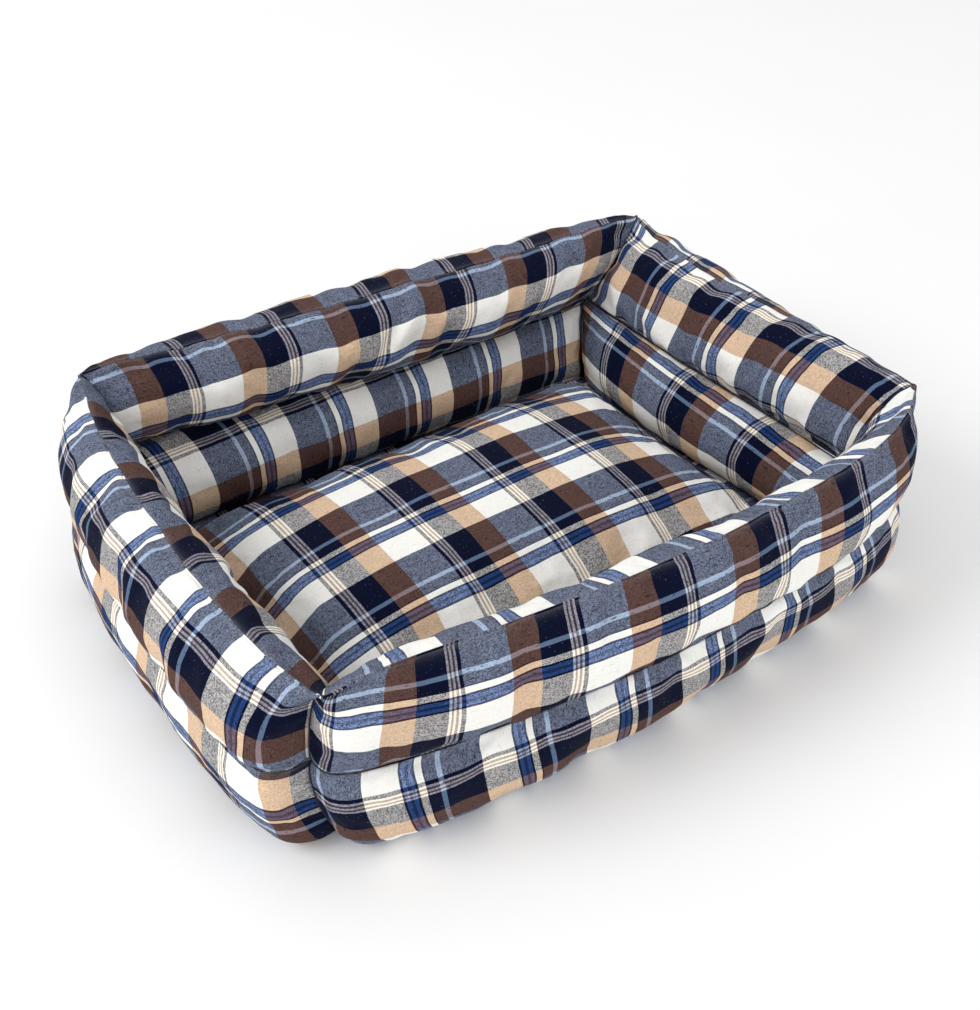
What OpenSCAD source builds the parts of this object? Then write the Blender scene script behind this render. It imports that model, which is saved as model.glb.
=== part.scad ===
// Rectangular pet cushion bed: four two-chamber padded walls sewn around a thin padded base,
// with a loose knife-edge cushion lying on the floor inside them. Millimetres, +Z up.
// The origin is the middle of the underside, with the long walls along X.

/* [Plan] */
// Distance between the corner seams along the long walls
crest_length = 536; // [440:2:640]
// Distance between the corner seams along the short walls
crest_width = 360; // [320:2:460]
// How far the middle of a long wall bows out past its corner seams
long_wall_bow = 14; // [5:1:30]
// How far the middle of a short wall bows out past its corner seams
short_wall_bow = 2; // [0:1:20]

/* [Walls] */
// Height of the crest of the walls above the floor
crest_height = 158; // [130:1:190]
// Height of the stitched channel between the lower and the upper chamber
channel_height = 80; // [65:1:90]
// Thickness of the upper chamber in the middle of a wall
upper_thickness = 70; // [50:1:80]
// Thickness of the lower chamber in the middle of a wall
lower_thickness = 100; // [80:1:106]
// Share of its thickness that each chamber keeps at a corner seam
corner_share = 0.6; // [0.4:0.05:0.7]
// How far the lower chamber stands inward of the crest line
lower_inset = 9; // [6:1:12]

/* [Cloth and seams] */
// Thickness of the woven cover cloth, with its lining
cloth = 1.2; // [0.8:0.1:1.6]
// Air left between neighbouring pieces
clearance = 0.4; // [0.3:0.1:0.6]
// Radius of the rolled seam along each crest
crest_seam_r = 1.6; // [1.2:0.1:2]
// Width of the band of cloth caught by the channel stitching
channel_seam_width = 16; // [10:1:18]

/* [Base] */
// Thickness of the wadding in the floor
wadding_thickness = 8; // [4:1:12]
// Gap between the floor's wadding and the corner seam lines
wadding_inset = 78; // [76:1:90]

/* [Loose cushion] */
// Length of the loose cushion, between the points of its corners
cushion_length = 396; // [300:2:400]
// Width of the loose cushion, between the points of its corners
cushion_width = 250; // [200:2:252]
// Height of the loose cushion's crown above the floor
cushion_crown_height = 79; // [60:1:90]
// Height of the loose cushion's edge seam above the floor
cushion_edge_height = 46; // [36:1:54]
// How far each edge of the cushion pulls in between its corners
cushion_edge_pull = 7; // [0:1:12]

/* [Hidden] */

// Half sizes of the rectangle through the four corner seams
half_length = crest_length / 2;
half_width = crest_width / 2;

// Each wall is drawn as the front wall and turned to its side: [turn, half length, distance out, bow]
FRONT = [0, half_length, half_width, long_wall_bow];
RIGHT = [90, half_width, half_length, short_wall_bow];
BACK = [180, half_length, half_width, long_wall_bow];
LEFT = [270, half_width, half_length, short_wall_bow];

// Angles around a chamber's section: 0 points outward, and 180 into the bed
UPWARD = 90;
DOWNWARD = 270;

// The two sides that a chamber is covered on
OUTER = "outer";
INNER = "inner";

// Chambers: [lowest z, highest z, thickness, inset from the crest line]
ground = cloth + clearance;
half_seam = cloth / 2;
UPPER = [channel_height + half_seam + clearance, crest_height, upper_thickness, 0];
LOWER = [ground, channel_height - half_seam - clearance, lower_thickness, lower_inset];

// Stations along a wall, facets across one panel, and facets around a rolled seam
stations = 10;
panel_facets = 6;
seam_facets = 6;
// Width of the binding round the bottom cloth
binding_width = 3;
// Thickness of the seam that joins two walls at a corner, and the slack left for it along a wall
corner_seam_thickness = 1.6;
corner_gap = (corner_seam_thickness / 2 + clearance) * sqrt(2);
// Half the width that a crest seam takes from the top of a chamber, with room for its facets
facet_room = 0.3;
crest_slot = crest_seam_r + clearance + facet_room;

// How much of its full value something has at t, which runs from -1 to 1 between two corners
function swell(t) = sqrt(1 - pow(abs(t), 3));
function bow(t) = 1 - t * t;

// Half thickness and the distance out of the middle of a chamber at t
function half_thickness(chamber, t) =
    chamber[2] / 2 * (corner_share + (1 - corner_share) * swell(t));
function middle_out(wall, chamber, t) = wall[3] * bow(t) - chamber[3];

// One point of a chamber's skin, a distance inside its surface, at an angle round its section
function skin_point(wall, chamber, t, angle, inside) =
    let (
        a = half_thickness(chamber, t) - inside,
        b = (chamber[1] - chamber[0]) / 2 - inside,
        out = middle_out(wall, chamber, t) + a * cos(angle),
        z = (chamber[0] + chamber[1]) / 2 + b * sin(angle)
    )
    [t * (wall[1] + out - corner_gap), -(wall[2] + out), z];

// A closed solid through rings of equal numbers of points. Past the point number turn_at the ring
// runs back along its inner side, and the diagonals turn over, so that nested skins stay parallel.
module skin(rings, turn_at) {
    n = len(rings[0]);
    last = len(rings) - 1;
    sides = [for (i = [0:last - 1], j = [0:n - 1])
        let (a = i * n + j, b = i * n + (j + 1) % n, c = b + n, d = a + n)
        for (triangle = j < turn_at ? [[a, b, c], [a, c, d]] : [[a, b, d], [b, c, d]]) triangle];
    caps = [[for (j = [n - 1:-1:0]) j], [for (j = [0:n - 1]) last * n + j]];
    polyhedron(points = [for (r = rings) for (p = r) p], faces = concat(sides, caps), convexity = 6);
}

// Places along a wall, closer together near the corners where the chambers taper
function station(i) = sin(90 * (2 * i / stations - 1));

// Angles of one panel's facets at t, short of the seams at both its edges
function panel_angles(chamber, t, from, to, slot_from, slot_to) =
    let (
        a = half_thickness(chamber, t),
        start = from - asin(slot_from / a),
        end = to + asin(slot_to / a)
    )
    [for (j = [0:panel_facets]) start + (end - start) * j / panel_facets];

// The outer panel runs from the top of its chamber down outside, and the inner one up from below inside
function crest_side_slot(chamber) = chamber == UPPER ? crest_slot : clearance;
function outer_angles(chamber, t) =
    panel_angles(chamber, t, UPWARD, DOWNWARD - 360, crest_side_slot(chamber), clearance);
function inner_angles(chamber, t) =
    panel_angles(chamber, t, DOWNWARD, UPWARD, clearance, crest_side_slot(chamber));

// Fibre filling of one chamber
module fill(wall, chamber) {
    rotate([0, 0, wall[0]])
        skin([for (i = [0:stations]) let (t = station(i))
            [for (angle = concat(inner_angles(chamber, t), outer_angles(chamber, t)))
                skin_point(wall, chamber, t, angle, cloth + clearance)]],
            turn_at = 4 * panel_facets);
}

// One cloth panel of a chamber
module panel(wall, chamber, side) {
    rotate([0, 0, wall[0]])
        skin([for (i = [0:stations])
            let (
                t = station(i),
                angles = side == OUTER ? outer_angles(chamber, t) : inner_angles(chamber, t)
            )
            concat(
                [for (angle = angles) skin_point(wall, chamber, t, angle, 0)],
                [for (j = [panel_facets:-1:0]) skin_point(wall, chamber, t, angles[j], cloth)]
            )],
            turn_at = panel_facets);
}

// Rolled seam along a crest, where the outer and the inner upper panel meet
module crest_seam(wall) {
    seam_z = crest_height - cloth + crest_seam_r;
    rotate([0, 0, wall[0]])
        skin([for (i = [0:stations])
            let (t = station(i), out = middle_out(wall, UPPER, t))
            [for (j = [seam_facets - 1:-1:0]) let (angle = 360 * j / seam_facets)
                [t * (wall[1] + out - corner_gap),
                 -(wall[2] + out + crest_seam_r * cos(angle)),
                 seam_z + crest_seam_r * sin(angle)]]],
            turn_at = seam_facets);
}

// Band of cloth that the channel stitching catches between the two chambers
module channel_seam(wall) {
    reach = channel_seam_width / 2;
    corners = [[reach, half_seam], [reach, -half_seam], [-reach, -half_seam], [-reach, half_seam]];
    rotate([0, 0, wall[0]])
        skin([for (i = [0:stations])
            let (t = station(i), out = middle_out(wall, UPPER, t) - lower_inset / 2)
            [for (c = corners)
                [t * (wall[1] + out + c[0] - corner_gap), -(wall[2] + out + c[0]), channel_height + c[1]]]],
            turn_at = len(corners));
}

// Upright seam where two walls are sewn together, standing in the plane between them
module corner_seam(side_x, side_y) {
    upper_reach = half_thickness(UPPER, 1) * sqrt(2);
    lower_reach = half_thickness(LOWER, 1) * sqrt(2);
    inset = lower_inset * sqrt(2);
    waist = channel_seam_width / 2;
    upper_middle = (channel_height + crest_height) / 2;
    outline = [
        [0, crest_height], [upper_reach, upper_middle], [waist, channel_height],
        [lower_reach - inset, channel_height / 2], [-inset, ground],
        [-lower_reach - inset, channel_height / 2], [-waist - inset, channel_height],
        [-upper_reach, upper_middle]
    ];
    translate([side_x * half_length, side_y * half_width, 0])
        rotate([0, 0, atan2(side_y, side_x)])
            rotate([90, 0, 0])
                linear_extrude(height = corner_seam_thickness, center = true) polygon(outline);
}

// Outline of the base: the foot line of the four walls, moved out by a given amount. It lies a
// share of the lower chamber's half thickness out from its middle.
foot_share = 0.4;
function foot_line(extra) = [for (wall = [FRONT, RIGHT, BACK, LEFT]) for (i = [0:stations - 1])
    let (
        t = station(i),
        out = middle_out(wall, LOWER, t) + foot_share * half_thickness(LOWER, t) + extra,
        x = t * (wall[1] + out),
        y = -(wall[2] + out),
        turn = wall[0]
    )
    [x * cos(turn) - y * sin(turn), x * sin(turn) + y * cos(turn)]];

// Cloth under the whole bed, which it rests on
module bottom_cloth() {
    color([0.16, 0.17, 0.21])
        linear_extrude(height = cloth) polygon(foot_line(0));
}

// Binding that closes the bottom cloth onto the walls
module bottom_edge_binding() {
    color([0.12, 0.14, 0.22])
        linear_extrude(height = 2 * cloth)
            difference() {
                polygon(foot_line(clearance + binding_width));
                polygon(foot_line(clearance));
            }
}

module floor_slab(bottom, thickness) {
    translate([0, 0, bottom + thickness / 2])
        cube([crest_length - 2 * wadding_inset, crest_width - 2 * wadding_inset, thickness], center = true);
}

// Thin sheet of wadding in the floor, and the cloth over it
wadding_bottom = cloth + clearance;
floor_bottom = wadding_bottom + wadding_thickness + clearance;
module base_wadding() { color([0.95, 0.95, 0.92]) floor_slab(wadding_bottom, wadding_thickness); }
module floor_cloth() { color([0.35, 0.37, 0.45]) floor_slab(floor_bottom, cloth); }

// Loose cushion: a grid over its plan, with a crowned top and a flatter underside
cushion_columns = 14;
cushion_rows = 10;
cushion_bottom = floor_bottom + cloth + clearance;
// How square the top and the underside are in plan, and how fast both rise from the edge
crown_power = 2.2;
underside_power = 5;
shoulder = 0.6;
// Outer face of the cloth at the edge, above and below the middle of the seam
rim_face = cloth + clearance / 2;
top_rise = cushion_crown_height - cushion_edge_height - rim_face;
bottom_drop = cushion_edge_height - cushion_bottom - rim_face;

function plan(u, v) = [
    (cushion_length / 2 - cushion_edge_pull * (1 - v * v)) * u,
    (cushion_width / 2 - cushion_edge_pull * (1 - u * u)) * v
];
function dome(u, v, power) =
    pow(max((1 - pow(abs(u), power)) * (1 - pow(abs(v), power)), 0), shoulder);
function cushion_top(u, v) =
    cushion_edge_height + rim_face + top_rise * dome(u, v, crown_power);
function cushion_under(u, v) =
    cushion_edge_height - rim_face - bottom_drop * dome(u, v, underside_power);

// Grid steps across the cushion, closer together near its edges
function across(i, n) = sin(90 * (2 * i / n - 1));

// Solid between two heights over the cushion's plan; shrink draws its edge in
module plan_solid(shrink, low, high) {
    nu = cushion_columns;
    nv = cushion_rows;
    row = nu + 1;
    layer = row * (nv + 1);
    points = [for (side = [0, 1]) for (j = [0:nv]) for (i = [0:nu])
        let (u = across(i, nu), v = across(j, nv), p = plan(u, v) * shrink)
        [p[0], p[1], side == 0 ? low(u, v) : high(u, v)]];
    under = [for (j = [0:nv - 1], i = [0:nu - 1])
        let (a = j * row + i, b = a + 1, c = b + row, d = a + row)
        for (triangle = [[a, b, c], [a, c, d]]) triangle];
    over = [for (f = under) [f[2] + layer, f[1] + layer, f[0] + layer]];
    rim = concat([for (i = [0:nu - 1]) i], [for (j = [0:nv - 1]) j * row + nu],
        [for (i = [nu:-1:1]) nv * row + i], [for (j = [nv:-1:1]) j * row]);
    wall = [for (k = [0:len(rim) - 1])
        let (a = rim[k], b = rim[(k + 1) % len(rim)])
        for (triangle = [[b, a, a + layer], [b, a + layer, b + layer]]) triangle];
    polyhedron(points = points, faces = concat(under, over, wall), convexity = 4);
}

// Width of the knife-edge seam, and the shares of the plan inside it that the cloth and filling keep
edge_seam_width = 2.4;
edge_slot = 1 - 2 * edge_seam_width / cushion_width;
fill_slot = edge_slot - 0.02;
module cushion_top_panel() {
    color([0.42, 0.42, 0.5])
        plan_solid(edge_slot,
            function (u, v) cushion_top(u, v) - cloth,
            function (u, v) cushion_top(u, v));
}
module cushion_bottom_panel() {
    color([0.3, 0.31, 0.4])
        plan_solid(edge_slot,
            function (u, v) cushion_under(u, v),
            function (u, v) cushion_under(u, v) + cloth);
}
module cushion_fill() {
    inside = cloth + clearance;
    color([0.95, 0.95, 0.92])
        plan_solid(fill_slot,
            function (u, v) min(cushion_under(u, v) + inside, cushion_edge_height - clearance / 2),
            function (u, v) max(cushion_top(u, v) - inside, cushion_edge_height + clearance / 2));
}

// Knife-edge seam right round the loose cushion, a clearance outside the cloth
module cushion_edge_seam() {
    rim = function (s) s < 1 ? plan(2 * s - 1, -1) : s < 2 ? plan(1, 2 * s - 3)
        : s < 3 ? plan(5 - 2 * s, 1) : plan(-1, 7 - 2 * s);
    steps = 8;
    inside = [for (k = [0:4 * steps - 1])
        rim(k / steps) * edge_slot * (1 + 2 * clearance / cushion_width)];
    outside = [for (p = inside) p * (1 + 2 * edge_seam_width / cushion_width)];
    color([0.12, 0.14, 0.22])
        translate([0, 0, cushion_edge_height - cloth])
            linear_extrude(height = 2 * cloth)
                difference() {
                    polygon(outside);
                    polygon(inside);
                }
}

slate = [0.42, 0.44, 0.52];
navy = [0.1, 0.12, 0.24];
cream = [0.93, 0.92, 0.88];
fibre = [0.95, 0.95, 0.92];

module front_outer_upper_panel() { color(slate) panel(FRONT, UPPER, OUTER); }
module front_inner_upper_panel() { color(cream) panel(FRONT, UPPER, INNER); }
module front_outer_lower_panel() { color(navy) panel(FRONT, LOWER, OUTER); }
module front_inner_lower_panel() { color(slate) panel(FRONT, LOWER, INNER); }
module back_outer_upper_panel() { color(slate) panel(BACK, UPPER, OUTER); }
module back_inner_upper_panel() { color(cream) panel(BACK, UPPER, INNER); }
module back_outer_lower_panel() { color(navy) panel(BACK, LOWER, OUTER); }
module back_inner_lower_panel() { color(slate) panel(BACK, LOWER, INNER); }
module left_outer_upper_panel() { color(slate) panel(LEFT, UPPER, OUTER); }
module left_inner_upper_panel() { color(cream) panel(LEFT, UPPER, INNER); }
module left_outer_lower_panel() { color(navy) panel(LEFT, LOWER, OUTER); }
module left_inner_lower_panel() { color(slate) panel(LEFT, LOWER, INNER); }
module right_outer_upper_panel() { color(slate) panel(RIGHT, UPPER, OUTER); }
module right_inner_upper_panel() { color(cream) panel(RIGHT, UPPER, INNER); }
module right_outer_lower_panel() { color(navy) panel(RIGHT, LOWER, OUTER); }
module right_inner_lower_panel() { color(slate) panel(RIGHT, LOWER, INNER); }
module front_upper_fill() { color(fibre) fill(FRONT, UPPER); }
module front_lower_fill() { color(fibre) fill(FRONT, LOWER); }
module back_upper_fill() { color(fibre) fill(BACK, UPPER); }
module back_lower_fill() { color(fibre) fill(BACK, LOWER); }
module left_upper_fill() { color(fibre) fill(LEFT, UPPER); }
module left_lower_fill() { color(fibre) fill(LEFT, LOWER); }
module right_upper_fill() { color(fibre) fill(RIGHT, UPPER); }
module right_lower_fill() { color(fibre) fill(RIGHT, LOWER); }
module front_crest_seam() { color(navy) crest_seam(FRONT); }
module back_crest_seam() { color(navy) crest_seam(BACK); }
module left_crest_seam() { color(navy) crest_seam(LEFT); }
module right_crest_seam() { color(navy) crest_seam(RIGHT); }
module front_channel_seam() { color(navy) channel_seam(FRONT); }
module back_channel_seam() { color(navy) channel_seam(BACK); }
module left_channel_seam() { color(navy) channel_seam(LEFT); }
module right_channel_seam() { color(navy) channel_seam(RIGHT); }
module front_left_corner_seam() { color(navy) corner_seam(-1, -1); }
module front_right_corner_seam() { color(navy) corner_seam(1, -1); }
module back_left_corner_seam() { color(navy) corner_seam(-1, 1); }
module back_right_corner_seam() { color(navy) corner_seam(1, 1); }

front_outer_upper_panel();
front_inner_upper_panel();
front_outer_lower_panel();
front_inner_lower_panel();
back_outer_upper_panel();
back_inner_upper_panel();
back_outer_lower_panel();
back_inner_lower_panel();
left_outer_upper_panel();
left_inner_upper_panel();
left_outer_lower_panel();
left_inner_lower_panel();
right_outer_upper_panel();
right_inner_upper_panel();
right_outer_lower_panel();
right_inner_lower_panel();
front_upper_fill();
front_lower_fill();
back_upper_fill();
back_lower_fill();
left_upper_fill();
left_lower_fill();
right_upper_fill();
right_lower_fill();
front_crest_seam();
back_crest_seam();
left_crest_seam();
right_crest_seam();
front_channel_seam();
back_channel_seam();
left_channel_seam();
right_channel_seam();
front_left_corner_seam();
front_right_corner_seam();
back_left_corner_seam();
back_right_corner_seam();
floor_cloth();
base_wadding();
bottom_cloth();
bottom_edge_binding();
cushion_top_panel();
cushion_bottom_panel();
cushion_fill();
cushion_edge_seam();
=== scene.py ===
import math
import bmesh
import bpy
import numpy as np
from mathutils import Matrix, Vector


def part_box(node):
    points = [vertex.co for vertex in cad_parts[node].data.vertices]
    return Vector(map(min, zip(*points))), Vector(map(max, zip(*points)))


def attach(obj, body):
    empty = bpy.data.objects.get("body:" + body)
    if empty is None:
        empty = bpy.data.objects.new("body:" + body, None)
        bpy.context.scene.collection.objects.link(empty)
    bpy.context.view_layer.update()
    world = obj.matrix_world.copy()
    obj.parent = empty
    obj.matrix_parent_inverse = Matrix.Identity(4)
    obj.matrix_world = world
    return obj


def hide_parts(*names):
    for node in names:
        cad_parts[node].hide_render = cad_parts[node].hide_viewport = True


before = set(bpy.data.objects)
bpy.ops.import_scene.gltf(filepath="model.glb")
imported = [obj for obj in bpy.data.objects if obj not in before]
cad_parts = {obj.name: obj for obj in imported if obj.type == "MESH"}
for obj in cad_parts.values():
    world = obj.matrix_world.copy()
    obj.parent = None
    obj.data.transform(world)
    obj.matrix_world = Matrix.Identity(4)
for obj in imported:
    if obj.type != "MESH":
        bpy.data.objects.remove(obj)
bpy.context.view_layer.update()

MM = 0.001
random = np.random.default_rng(7)

# ---- Plaid: one repeat of the warp's stripes (set B) and one of the weft's (set A) ----
REPEAT_B = 83 * MM
REPEAT_A = 77.6 * MM
# The same on cloth that lies flat in the bed, along x and y
LAID_PLAID = np.array([REPEAT_B, -REPEAT_A])

# ---- Walls ----
CREST_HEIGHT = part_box("front_outer_upper_panel")[1].z
CHANNEL_HEIGHT = (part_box("front_channel_seam")[0].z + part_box("front_channel_seam")[1].z) / 2
# The four corners of the crest, from the CAD's crest seams, and how far the sewn bed strays from square
crest_x, crest_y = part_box("front_crest_seam")[1].x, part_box("back_crest_seam")[0].y
CORNERS = {
    "front_left": (-crest_x + 4 * MM, -crest_y - 8 * MM),
    "front_right": (crest_x + 15 * MM, -crest_y + 13 * MM),
    "back_right": (crest_x + 16 * MM, crest_y + 2 * MM),
    "back_left": (-crest_x - 3 * MM, crest_y + 20 * MM),
}
# Each wall in millimetres, at its first corner, in its middle and at its second corner. Distances are
# outward of the straight line between the two corners, and heights are against the CAD's.
#   fullness, skew          how evenly its lines bow, and how far the bow leans to the second corner
#   crest, crest_z          where the outer and the inner upper panel meet, and its height
#   groove_out, groove_in   the valley between the two chambers, outside and inside, and its height groove_z
#   foot_out, foot_in       the lower edges of the lower panels
#   *_puff                  how far each panel swells beyond the straight line between its seams
WALLS = {
    "front": dict(
        corners=("front_left", "front_right"), fullness=3, skew=0.39,
        crest=(-4, 36, -3), crest_z=(2, -7, 4), groove_out=(10, 53, 5), groove_in=(-16, 19, -13),
        groove_z=(-5, 0, -3), foot_out=(14, 33, 7), foot_in=(-24, -2, -24),
        outer_upper_puff=(6, 16, 5), inner_upper_puff=(14, 22, 7),
        outer_lower_puff=(11, 13, 9), inner_lower_puff=(8, 34, 10)),
    "right": dict(
        corners=("front_right", "back_right"), fullness=2.2, skew=0.47,
        crest=(-7, -23, 1), crest_z=(4, -5, 6), groove_out=(-14, 17, 9), groove_in=(-45, -54, -52),
        groove_z=(-3, 0, 0), foot_out=(-2, 14, 6), foot_in=(-66, -76, -72),
        outer_upper_puff=(-2, 19, 10), inner_upper_puff=(16, 25, 8),
        outer_lower_puff=(4, 13, 8), inner_lower_puff=(10, 27, 10)),
    "back": dict(
        corners=("back_right", "back_left"), fullness=2.7, skew=0.13,
        crest=(0, 3, 7), crest_z=(6, -5, 11), groove_out=(20, 33, 18), groove_in=(6, 7, 5),
        groove_z=(0, 0, 4), foot_out=(12, 24, 14), foot_in=(-28, -24, -32),
        outer_upper_puff=(9, 33, 11), inner_upper_puff=(11, 38, 7),
        outer_lower_puff=(8, 14, 9), inner_lower_puff=(10, 29, 10)),
    "left": dict(
        corners=("back_left", "front_left"), fullness=2.8, skew=0.06,
        crest=(-10, 19, 10), crest_z=(11, -9, 2), groove_out=(-6, 45, 21), groove_in=(-14, -8, -14),
        groove_z=(4, 0, -5), foot_out=(9, 38, 3), foot_in=(-26, -18, -24),
        outer_upper_puff=(3, 21, 7), inner_upper_puff=(8, 19, 8),
        outer_lower_puff=(10, 11, 12), inner_lower_puff=(8, 20, 8)),
}
ROUND = ["front", "right", "back", "left"]
PANELS = ["outer_upper", "inner_upper", "outer_lower", "inner_lower"]
SEAM_GAP = 1 * MM
# Radius of the outside of a corner in plan, and the share of it by which the corner seam sinks in
CORNER_ROUNDING = 42 * MM
CORNER_DIP = 0.24
# How far, in millimetres, an upright corner seam slips round the outside of its corner, away from the mitre
CORNER_SLIP = {"front_left": (-10, 15)}
# Over what length a panel's slip, and the drift of its plaid, fade out from a corner
CORNER_FADE = 55 * MM
# How far the crest sinks where two walls meet, and over what length
NOTCH = 11 * MM
NOTCH_LENGTH = 26 * MM
FLOOR_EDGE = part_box("base_wadding")[1].z
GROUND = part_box("bottom_cloth")[1].z


def norms(vectors):
    """The length of each vector, with an axis kept for it."""
    return np.linalg.norm(vectors, axis=-1, keepdims=True)


def at(wall, key, t, square=False):
    """A wall's measure at t, from -1 at its first corner to 1 at its second."""
    first, middle, second = wall[key]
    line = first + (second - first) * (1 + t) / 2
    rise = 1 - np.abs(t) ** 6 if square else 1 - np.abs(t - wall["skew"] * (1 - t * t)) ** wall["fullness"]
    return (line + (middle - (first + second) / 2) * rise) * MM


def unsteady(side, t):
    """A sewn seam never runs true: its small waves along a wall, about 1 at their highest."""
    run = t * directions(side)[1] / MM
    start = 2.3 * ROUND.index(side)
    waves = sum(np.sin(run / length + start * length) for length in (5.3, 8.9, 14.3, 23.7)) / 4
    return waves * (1 - t ** 8)


def swell(wall, key, t):
    """How far a panel swells at t: about the middle's measure all along, and less close to the corners."""
    first, middle, second = wall[key]
    line = first + (second - first) * (1 + t) / 2
    return (line + (middle - (first + second) / 2) * np.sqrt(np.clip(1 - np.abs(t) ** 3, 0, 1))) * MM


def arch(start, end, puff, h, side):
    """From start to end, each (distance out, height), puffed to one side; h runs from 0 to pi."""
    share = (1 - np.cos(h)) / 2
    run, rise = end[0] - start[0], end[1] - start[1]
    length = np.hypot(run, rise)
    lift = puff * np.sin(h) ** 0.9 * side
    return start[0] + run * share - rise / length * lift, start[1] + rise * share + run / length * lift


def section(side, which, t, h):
    """Distance out and height of a panel: h is 0 at its upper seam and pi at its lower one."""
    w = WALLS[side]
    turn = 1 if which.startswith("outer") else -1
    groove = at(w, "groove_out" if turn > 0 else "groove_in", t)
    wave = unsteady(side, t) * MM
    groove_z = CHANNEL_HEIGHT + at(w, "groove_z", t, square=True) + 0.6 * wave
    puff = swell(w, which + "_puff", t)
    if which.endswith("upper"):
        gap = (1 - np.abs(t)) * directions(side)[1]
        notch = NOTCH * np.exp(-((gap / NOTCH_LENGTH) ** 1.5))
        crest = at(w, "crest", t) + 1.5 * wave
        crest_z = CREST_HEIGHT + at(w, "crest_z", t, square=True) - notch + wave
        return arch((crest, crest_z), (groove, groove_z + SEAM_GAP), puff, h, turn)
    foot = at(w, "foot_out" if turn > 0 else "foot_in", t)
    foot_z = np.full_like(t, GROUND + 0.8 * MM if turn > 0 else FLOOR_EDGE)
    return arch((groove, groove_z - SEAM_GAP), (foot, foot_z), puff, h, turn)


def directions(side):
    """A wall's crest line: its middle, half its length, and its unit directions along and outward."""
    first, second = (np.array(CORNERS[corner]) for corner in WALLS[side]["corners"])
    length = np.linalg.norm(second - first)
    along = (second - first) / length
    return (first + second) / 2, length / 2, along, np.array([along[1], -along[0]])


def corner_radius(which, h):
    """How widely the outside of a corner is rounded in plan; the crest itself comes to a point."""
    if which == "outer_upper":
        return CORNER_ROUNDING * (0.25 + 0.75 * np.sin(h / 2 + 0.3) ** 2) * np.clip(h / 0.9, 0, 1) ** 0.7
    return CORNER_ROUNDING * (0.935 + 0.065 * np.sin(h))


def place(side, which, t, h, out, z):
    """Points of a wall in the frame, with each end on the mitre that it shares with the next wall."""
    middle, half, along, outward = directions(side)
    i = ROUND.index(side)
    previous, following = ROUND[i - 1], ROUND[(i + 1) % 4]
    before, before_z = section(previous, which, np.ones_like(t), h)
    after, after_z = section(following, which, -np.ones_like(t), h)
    for end, other_z in ((-1, before_z), (1, after_z)):
        # Both walls meet halfway between their own heights
        nearness = np.clip(end * t, 0, 1) ** 8
        z = z + nearness / 2 * (other_z - section(side, which, end * np.ones_like(t), h)[1])
    x = t * half + after * (1 + t) / 2 - before * (1 - t) / 2
    plan = middle + along * x[..., None] + outward * out[..., None]
    if which.startswith("outer"):
        # Turn the last stretch before each mitre round an arc
        radius = corner_radius(which, h)
        for end, neighbour in ((-1, previous), (1, following)):
            gap = (1 - end * t) * half
            turn = np.clip(1 - gap / np.maximum(radius, MM), 0, 1)
            drawn_out = radius * (1 - np.cos(turn * math.pi / 4)) + CORNER_DIP * radius * turn ** 4
            drawn_along = radius * (turn - np.sin(turn * math.pi / 4)) + CORNER_DIP * radius * turn ** 4
            plan = plan - outward * drawn_out[..., None] - directions(neighbour)[3] * drawn_along[..., None]
            corner = WALLS[side]["corners"][(end + 1) // 2]
            slip = np.array(CORNER_SLIP.get(corner, (0, 0))) * MM
            share = np.exp(-((gap / CORNER_FADE) ** 2)) * (np.sin(h / 2) if which == "outer_upper" else 1)
            plan = plan + share[..., None] * slip
    return np.concatenate([plan, z[..., None]], -1)


def lower_edge(side, which, t):
    """The points along a panel's lower seam."""
    return panel_grid(side, which, t, np.array([math.pi]))[:, 0]


def panel_grid(side, which, t, h):
    """A panel's points, for every t along the wall and every h across the panel."""
    t, h = np.meshgrid(t, h, indexing="ij")
    out, z = section(side, which, t, h)
    return place(side, which, t, h, out, z)


# ---- Cloth laid out flat: distances along and across each panel ----
def lengths(grid, axis):
    """Running length of a grid's lines along an axis, from 0."""
    step = np.linalg.norm(np.diff(grid, axis=axis), axis=2)
    start = np.zeros_like(np.take(step, [0], axis))
    return np.concatenate([start, np.cumsum(step, axis)], axis)


def cloth_lengths(grid):
    """Length along from the panel's middle, on its middle line, and length across from its upper seam."""
    run = lengths(grid[:, [grid.shape[1] // 2]], 0)
    along = run - run[len(run) // 2]
    return np.broadcast_to(along, grid.shape[:2]), lengths(grid, 1)


# How each panel is cut from the plaid: the set that runs along it, with its direction and its place in the
# middle, then the direction of the other set from the upper seam down, its place there, and how far the cut
# is off the grain, in repeats a metre.
PLAID = {
    ("front", "outer_upper"): ("B", -1, 0.84, 1, 0.05, 0),
    ("front", "inner_upper"): ("A", 1, 0.464, 1, 0.66, 0),
    ("front", "outer_lower"): ("A", -1, 0.785, 1, 0.84, 0.18),
    ("front", "inner_lower"): ("B", 1, 0.20, 1, 0.10, 0),
    ("back", "inner_upper"): ("B", 1, 0.882, -1, 0.468, 0.2),
    ("back", "outer_upper"): ("B", -1, 0.333, -1, 0.31, 0.15),
    ("back", "inner_lower"): ("A", -1, 0.128, -1, 0.276, 0.55),
    ("back", "outer_lower"): ("B", 1, 0.50, 1, 0.30, 0),
    ("right", "inner_upper"): ("A", -1, 0.475, 1, 0.904, -0.6),
    ("right", "outer_upper"): ("B", -1, 0.042, 1, 0.45, 0),
    ("right", "inner_lower"): ("B", -1, 0.214, -1, 0.785, -0.6),
    ("right", "outer_lower"): ("A", 1, 0.30, 1, 0.20, 0),
    ("left", "outer_upper"): ("A", -1, 0.652, 1, 0.724, 0.37),
    ("left", "inner_upper"): ("B", -1, 0.631, -1, 0.33, 0),
    ("left", "outer_lower"): ("B", -1, 0.67, -1, 0.06, 0),
    ("left", "inner_lower"): ("A", 1, 0.30, 1, 0.40, 0),
}
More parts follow.
